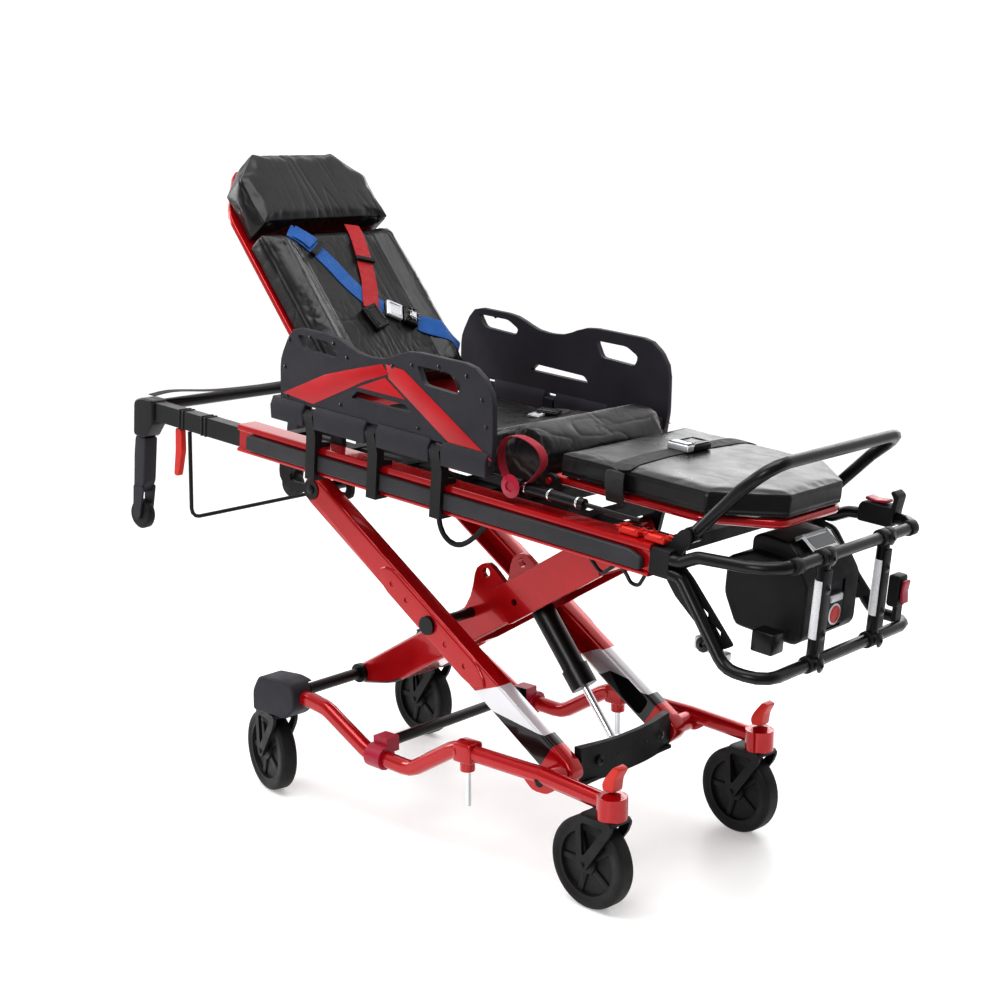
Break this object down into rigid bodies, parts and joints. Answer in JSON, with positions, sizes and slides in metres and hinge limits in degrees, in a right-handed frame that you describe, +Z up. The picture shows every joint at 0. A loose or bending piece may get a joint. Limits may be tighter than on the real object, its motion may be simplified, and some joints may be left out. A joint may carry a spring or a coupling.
{
  "type": "stretcher trolley",
  "caption": "Powered ambulance stretcher trolley: castor base, crossing lift legs, and a litter with raised backrest, folding side boards and foot-end battery cage.",
  "frame": {"origin": "on the floor under the middle of the whole trolley", "axes": "+X towards the patient's feet, +Y to the patient's left, +Z up"},
  "size_m": [1.9762, 0.644, 1.5433],
  "materials": {
    "red_paint": "glossy metallic red powder coat",
    "satin_black": "satin black powder coat",
    "black_plastic": "fine-grained black moulded plastic",
    "grey_plastic": "charcoal moulded plastic with a fine grain",
    "bumper_rubber": "matt grey extruded rubber",
    "tyre_rubber": "matt black tyre and wheel moulding",
    "bright_steel": "bright turned steel",
    "vinyl": "black welded vinyl with soft creases",
    "brake_red": "orange-red moulded plastic",
    "crimson_plastic": "crimson moulded plastic",
    "webbing_black": "black woven webbing",
    "webbing_blue": "blue woven webbing",
    "webbing_red": "red woven webbing",
    "reflective": "white reflective film"
  },
  "bodies": {
    "base": {"base_rail_r": "red_paint", "base_rail_l": "red_paint", "castor_housing_r": "grey_plastic", "castor_housing_l": "grey_plastic", "base_cross_tube": "satin_black", "foot_beam": "black_plastic", "fixing_pin_r": "bright_steel", "fixing_pin_l": "bright_steel"},
    "castor_head_r": {"castor_fork_head_r": "black_plastic"},
    "wheel_head_r": {"castor_wheel_head_r": "tyre_rubber"},
    "castor_head_l": {"castor_fork_head_l": "black_plastic"},
    "wheel_head_l": {"castor_wheel_head_l": "tyre_rubber"},
    "castor_foot_r": {"castor_fork_foot_r": "black_plastic"},
    "wheel_foot_r": {"castor_wheel_foot_r": "tyre_rubber"},
    "castor_foot_l": {"castor_fork_foot_l": "black_plastic"},
    "wheel_foot_l": {"castor_wheel_foot_l": "tyre_rubber"},
    "brake_pedal_r": {"brake_pedal_r": "brake_red"},
    "brake_pedal_l": {"brake_pedal_l": "brake_red"},
    "legs": {"outer_leg_r": "red_paint", "outer_leg_l": "red_paint", "leg_top_shaft": "satin_black", "crossing_bolt": "satin_black"},
    "mast": {"mast": "red_paint"},
    "actuator_barrel": {"actuator_barrel": "satin_black"},
    "actuator_rod": {"actuator_rod": "bright_steel"},
    "litter": {"side_rail_r": "red_paint", "side_rail_l": "red_paint", "bumper_r": "bumper_rubber", "bumper_l": "bumper_rubber", "chassis": "black_plastic", "actuator_hose": "black_plastic", "control_pod_upper": "black_plastic", "control_pod_lower": "black_plastic", "cage_upper": "satin_black", "cage_lower": "satin_black", "cage_post_r": "satin_black", "cage_post_l": "satin_black", "battery_box": "black_plastic", "battery": "grey_plastic", "foot_bracket_r": "black_plastic", "foot_bracket_l": "black_plastic", "gas_spring": "satin_black", "seat_cushion": "vinyl"},
    "backrest": {"backrest_board": "red_paint", "backrest_cushion": "vinyl", "headrest_cushion": "vinyl"},
    "leg_section": {"leg_deck": "red_paint", "leg_cushion": "vinyl"},
    "side_board_r": {"side_board_r": "grey_plastic"},
    "side_board_l": {"side_board_l": "grey_plastic"},
    "head_frame": {"head_frame": "satin_black", "loading_leg_r": "grey_plastic", "loading_leg_l": "grey_plastic"},
    "loading_wheel_r": {"loading_wheel_r": "tyre_rubber"},
    "loading_wheel_l": {"loading_wheel_l": "tyre_rubber"},
    "control_rocker_upper": {"control_rocker_upper": "crimson_plastic"},
    "control_rocker_lower": {"control_rocker_lower": "crimson_plastic"},
    "release_lever": {"release_lever": "brake_red"},
    "safety_bar": {"safety_bar": "black_plastic"},
    "push_handle": {"push_handle": "satin_black"}
  },
  "joints": [
    {"name": "lift", "type": "hinge", "parent": "base", "child": "legs", "pos_m": [0.40506, 0, 0.24], "axis": [0, 1, 0], "range_deg": [-25, 3]},
    {"name": "scissor", "type": "hinge", "parent": "legs", "child": "mast", "pos_m": [0.02122, 0, 0.49891], "axis": [0, 1, 0], "range_deg": [-6, 50]},
    {"name": "litter_level", "type": "hinge", "parent": "mast", "child": "litter", "pos_m": [0.41808, 0, 0.73737], "axis": [0, 1, 0], "range_deg": [-25, 3]},
    {"name": "actuator_swing", "type": "hinge", "parent": "mast", "child": "actuator_barrel", "pos_m": [0.1565, 0, 0.54753], "axis": [0, 1, 0], "range_deg": [-68, 9]},
    {"name": "actuator_stroke", "type": "slide", "parent": "actuator_barrel", "child": "actuator_rod", "axis": [0.6194, 0, -0.7851], "range_m": [-0.09, 0.012]},
    {"name": "swivel_head_r", "type": "hinge", "parent": "base", "child": "castor_head_r", "pos_m": [-0.42044, -0.273, 0.1], "axis": [0, 0, 1], "continuous": true},
    {"name": "roll_head_r", "type": "hinge", "parent": "castor_head_r", "child": "wheel_head_r", "pos_m": [-0.47163, -0.25928, 0.1], "axis": [0.2588, 0.9659, 0], "continuous": true},
    {"name": "swivel_head_l", "type": "hinge", "parent": "base", "child": "castor_head_l", "pos_m": [-0.42044, 0.273, 0.1], "axis": [0, 0, 1], "continuous": true},
    {"name": "roll_head_l", "type": "hinge", "parent": "castor_head_l", "child": "wheel_head_l", "pos_m": [-0.47315, 0.27854, 0.1], "axis": [0.1045, 0.9945, 0], "continuous": true},
    {"name": "swivel_foot_r", "type": "hinge", "parent": "base", "child": "castor_foot_r", "pos_m": [0.59456, -0.273, 0.1], "axis": [0, 0, 1], "continuous": true},
    {"name": "roll_foot_r", "type": "hinge", "parent": "castor_foot_r", "child": "wheel_foot_r", "pos_m": [0.54169, -0.2693, 0.1], "axis": [0.0698, 0.9976, 0], "continuous": true},
    {"name": "swivel_foot_l", "type": "hinge", "parent": "base", "child": "castor_foot_l", "pos_m": [0.59456, 0.273, 0.1], "axis": [0, 0, 1], "continuous": true},
    {"name": "roll_foot_l", "type": "hinge", "parent": "castor_foot_l", "child": "wheel_foot_l", "pos_m": [0.54185, 0.27854, 0.1], "axis": [0.1045, 0.9945, 0], "continuous": true},
    {"name": "brake_r", "type": "hinge", "parent": "base", "child": "brake_pedal_r", "pos_m": [0.59456, -0.273, 0.275], "axis": [0, 1, 0], "range_deg": [-10, 10]},
    {"name": "brake_l", "type": "hinge", "parent": "base", "child": "brake_pedal_l", "pos_m": [0.59456, 0.273, 0.275], "axis": [0, 1, 0], "range_deg": [-10, 10]},
    {"name": "backrest_tilt", "type": "hinge", "parent": "litter", "child": "backrest", "pos_m": [-0.25281, 0, 0.93], "axis": [0, 1, 0], "range_deg": [-46, 28]},
    {"name": "leg_raise", "type": "hinge", "parent": "litter", "child": "leg_section", "pos_m": [0.38224, 0, 0.88013], "axis": [0, 1, 0], "range_deg": [-6, 0]},
    {"name": "board_fold_r", "type": "hinge", "parent": "litter", "child": "side_board_r", "pos_m": [0.09298, -0.304, 0.92475], "axis": [0.9964, 0, -0.0845], "range_deg": [0, 120]},
    {"name": "board_fold_l", "type": "hinge", "parent": "litter", "child": "side_board_l", "pos_m": [0.09298, 0.304, 0.92475], "axis": [-0.9964, 0, 0.0845], "range_deg": [0, 120]},
    {"name": "head_slide", "type": "slide", "parent": "litter", "child": "head_frame", "axis": [0.9964, 0, -0.0845], "range_m": [0, 0.1]},
    {"name": "loading_roll_r", "type": "hinge", "parent": "head_frame", "child": "loading_wheel_r", "pos_m": [-0.95019, -0.259, 0.62387], "axis": [0, 1, 0], "continuous": true},
    {"name": "loading_roll_l", "type": "hinge", "parent": "head_frame", "child": "loading_wheel_l", "pos_m": [-0.95019, 0.259, 0.62387], "axis": [0, 1, 0], "continuous": true},
    {"name": "lever_pull", "type": "hinge", "parent": "head_frame", "child": "release_lever", "pos_m": [-0.78426, 0, 0.85266], "axis": [0, 1, 0], "range_deg": [-15, 0], "stiffness_Nm_per_rad": 1},
    {"name": "safety_bar_swing", "type": "hinge", "parent": "head_frame", "child": "safety_bar", "pos_m": [-0.74754, 0, 0.85958], "axis": [0, 1, 0], "range_deg": [-20, 10]},
    {"name": "handle_fold", "type": "hinge", "parent": "litter", "child": "push_handle", "pos_m": [0.75595, 0, 0.82534], "axis": [0, 1, 0], "range_deg": [0, 35]},
    {"name": "rocker_upper", "type": "hinge", "parent": "litter", "child": "control_rocker_upper", "pos_m": [0.86822, 0, 0.82384], "axis": [0, 1, 0], "range_deg": [-5, 5], "stiffness_Nm_per_rad": 1},
    {"name": "rocker_lower", "type": "hinge", "parent": "litter", "child": "control_rocker_lower", "pos_m": [0.96339, 0, 0.6562], "axis": [0, 1, 0], "range_deg": [-5, 5], "stiffness_Nm_per_rad": 1}
  ],
  "couplings": [
    {"joint": "scissor", "follows": "lift", "ratio": -2},
    {"joint": "litter_level", "follows": "lift", "ratio": 1},
    {"joint": "actuator_swing", "follows": "lift", "ratio": 2.65},
    {"joint": "actuator_stroke", "follows": "lift", "m_per_rad": 0.195}
  ]
}
